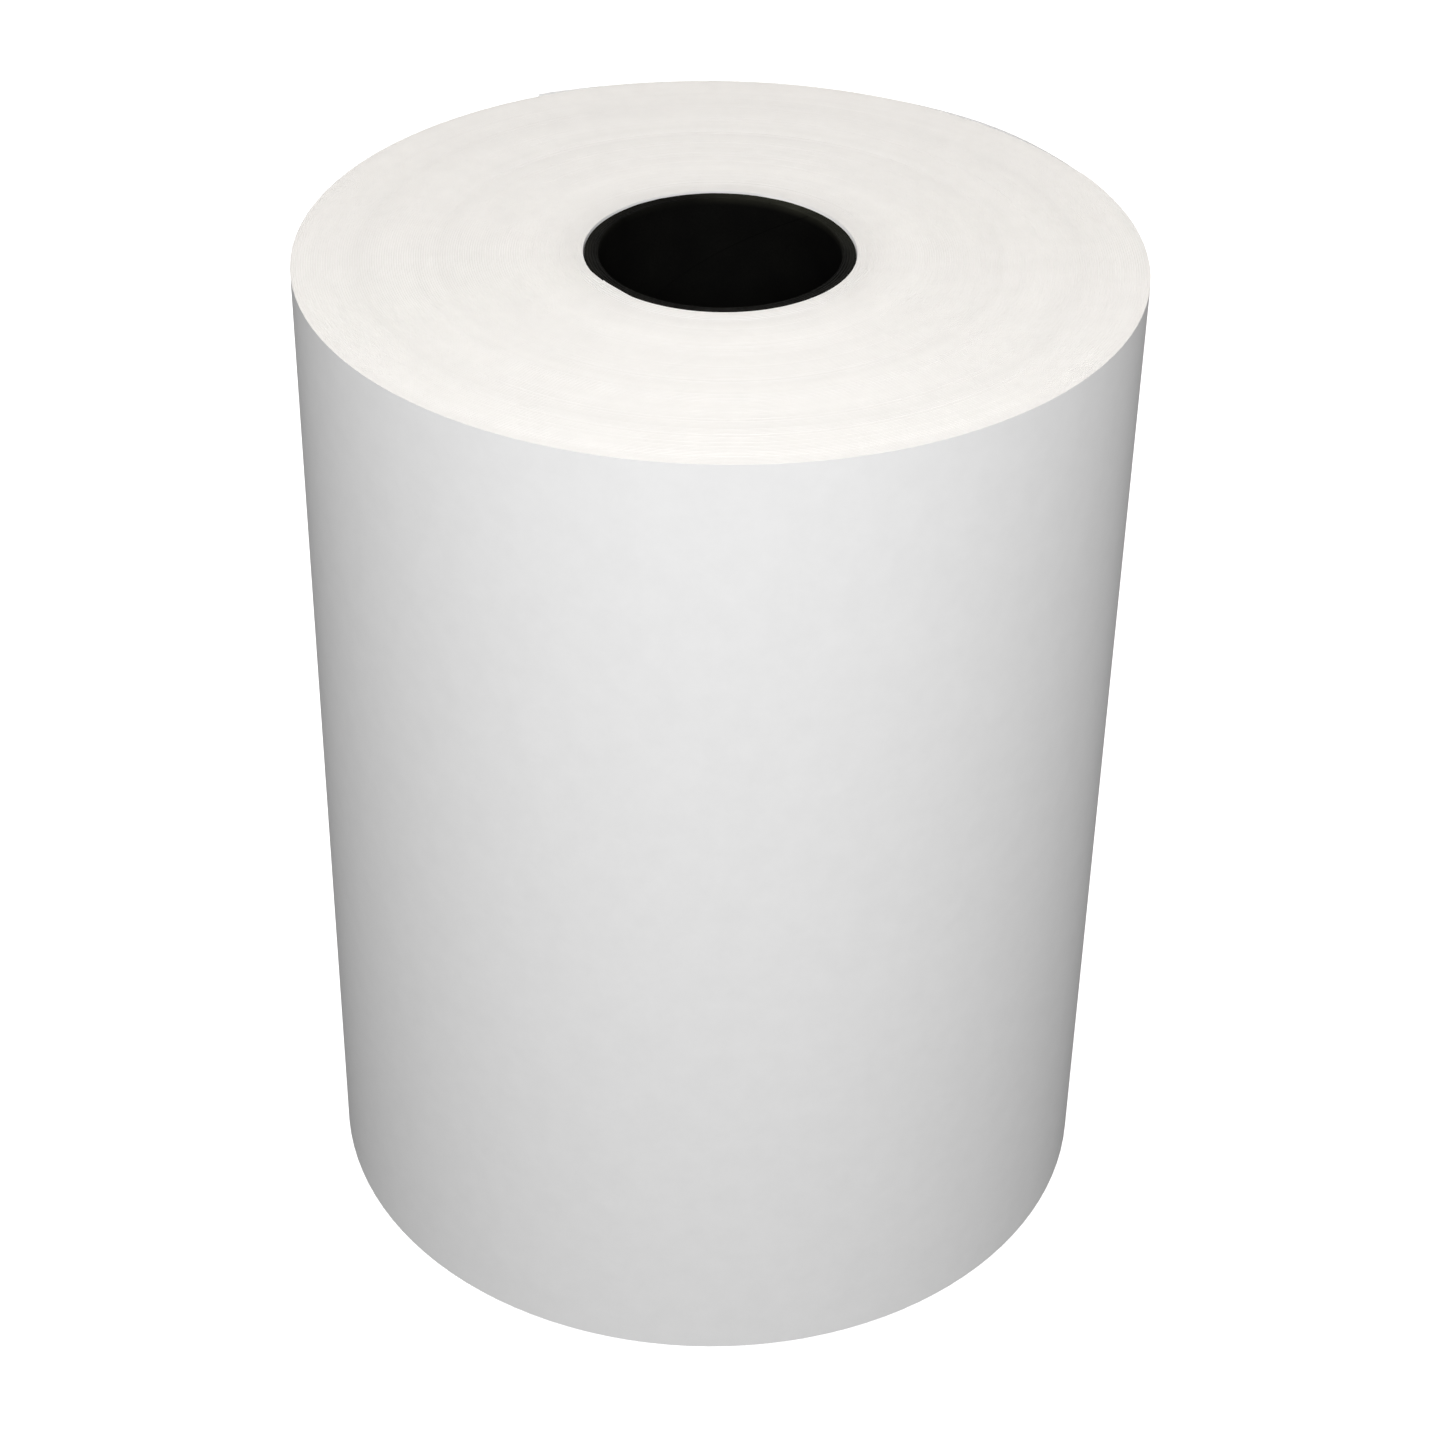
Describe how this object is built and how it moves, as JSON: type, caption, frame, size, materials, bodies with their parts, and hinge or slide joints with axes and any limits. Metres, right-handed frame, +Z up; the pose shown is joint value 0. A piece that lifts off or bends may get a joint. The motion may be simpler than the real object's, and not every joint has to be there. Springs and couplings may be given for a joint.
{
  "type": "backdrop paper roll",
  "caption": "Roll of white backdrop paper wound on a black spiral-ply core and standing on one end, with a free end of the sheet that peels away from the roll.",
  "frame": {"origin": "middle of the end that the roll stands on", "axes": "+Z up along the core's axis; the side seen in the source view faces -Y, and the free end of the sheet is at the back, towards +Y"},
  "size_m": [0.1773, 0.1774, 0.2289],
  "materials": {
    "backdrop_paper": "matte",
    "core_liner": "satin",
    "core_board": "matte",
    "adhesive_tape": "matte",
    "closing_tape": "matte"
  },
  "bodies": {
    "roll": {"core_liner": "core_liner", "core_board_ply_1": "core_board", "core_board_ply_2": "core_board", "core_board_ply_3": "core_board", "core_board_ply_4": "core_board", "core_wrap": "core_board", "start_tape": "adhesive_tape", "wound_paper": "backdrop_paper"},
    "tail_1": {"tail_strip_1": "backdrop_paper"},
    "tail_2": {"tail_strip_2": "backdrop_paper"},
    "tail_3": {"tail_strip_3": "backdrop_paper"},
    "tail_4": {"tail_strip_4": "backdrop_paper"},
    "tail_5": {"tail_strip_5": "backdrop_paper"},
    "tail_6": {"tail_strip_6": "backdrop_paper", "closing_tape": "closing_tape"}
  },
  "joints": [
    {"name": "tail_peel", "type": "hinge", "parent": "roll", "child": "tail_1", "pos_m": [0.07841, 0.04169, 0.1143], "axis": [0, 0, -1], "range_deg": [0, 15], "stiffness_Nm_per_rad": 0.1},
    {"name": "tail_bend_2", "type": "hinge", "parent": "tail_1", "child": "tail_2", "pos_m": [0.06494, 0.06056, 0.1143], "axis": [0, 0, -1], "range_deg": [0, 15]},
    {"name": "tail_bend_3", "type": "hinge", "parent": "tail_2", "child": "tail_3", "pos_m": [0.04706, 0.07531, 0.1143], "axis": [0, 0, -1], "range_deg": [0, 15]},
    {"name": "tail_bend_4", "type": "hinge", "parent": "tail_3", "child": "tail_4", "pos_m": [0.02596, 0.08492, 0.1143], "axis": [0, 0, -1], "range_deg": [0, 15]},
    {"name": "tail_bend_5", "type": "hinge", "parent": "tail_4", "child": "tail_5", "pos_m": [0.0031, 0.08875, 0.1143], "axis": [0, 0, -1], "range_deg": [0, 15]},
    {"name": "tail_bend_6", "type": "hinge", "parent": "tail_5", "child": "tail_6", "pos_m": [-0.01998, 0.08652, 0.1143], "axis": [0, 0, -1], "range_deg": [0, 15]}
  ],
  "couplings": [
    {"joint": "tail_bend_2", "follows": "tail_peel", "ratio": 1},
    {"joint": "tail_bend_3", "follows": "tail_peel", "ratio": 1},
    {"joint": "tail_bend_4", "follows": "tail_peel", "ratio": 1},
    {"joint": "tail_bend_5", "follows": "tail_peel", "ratio": 1},
    {"joint": "tail_bend_6", "follows": "tail_peel", "ratio": 1}
  ]
}
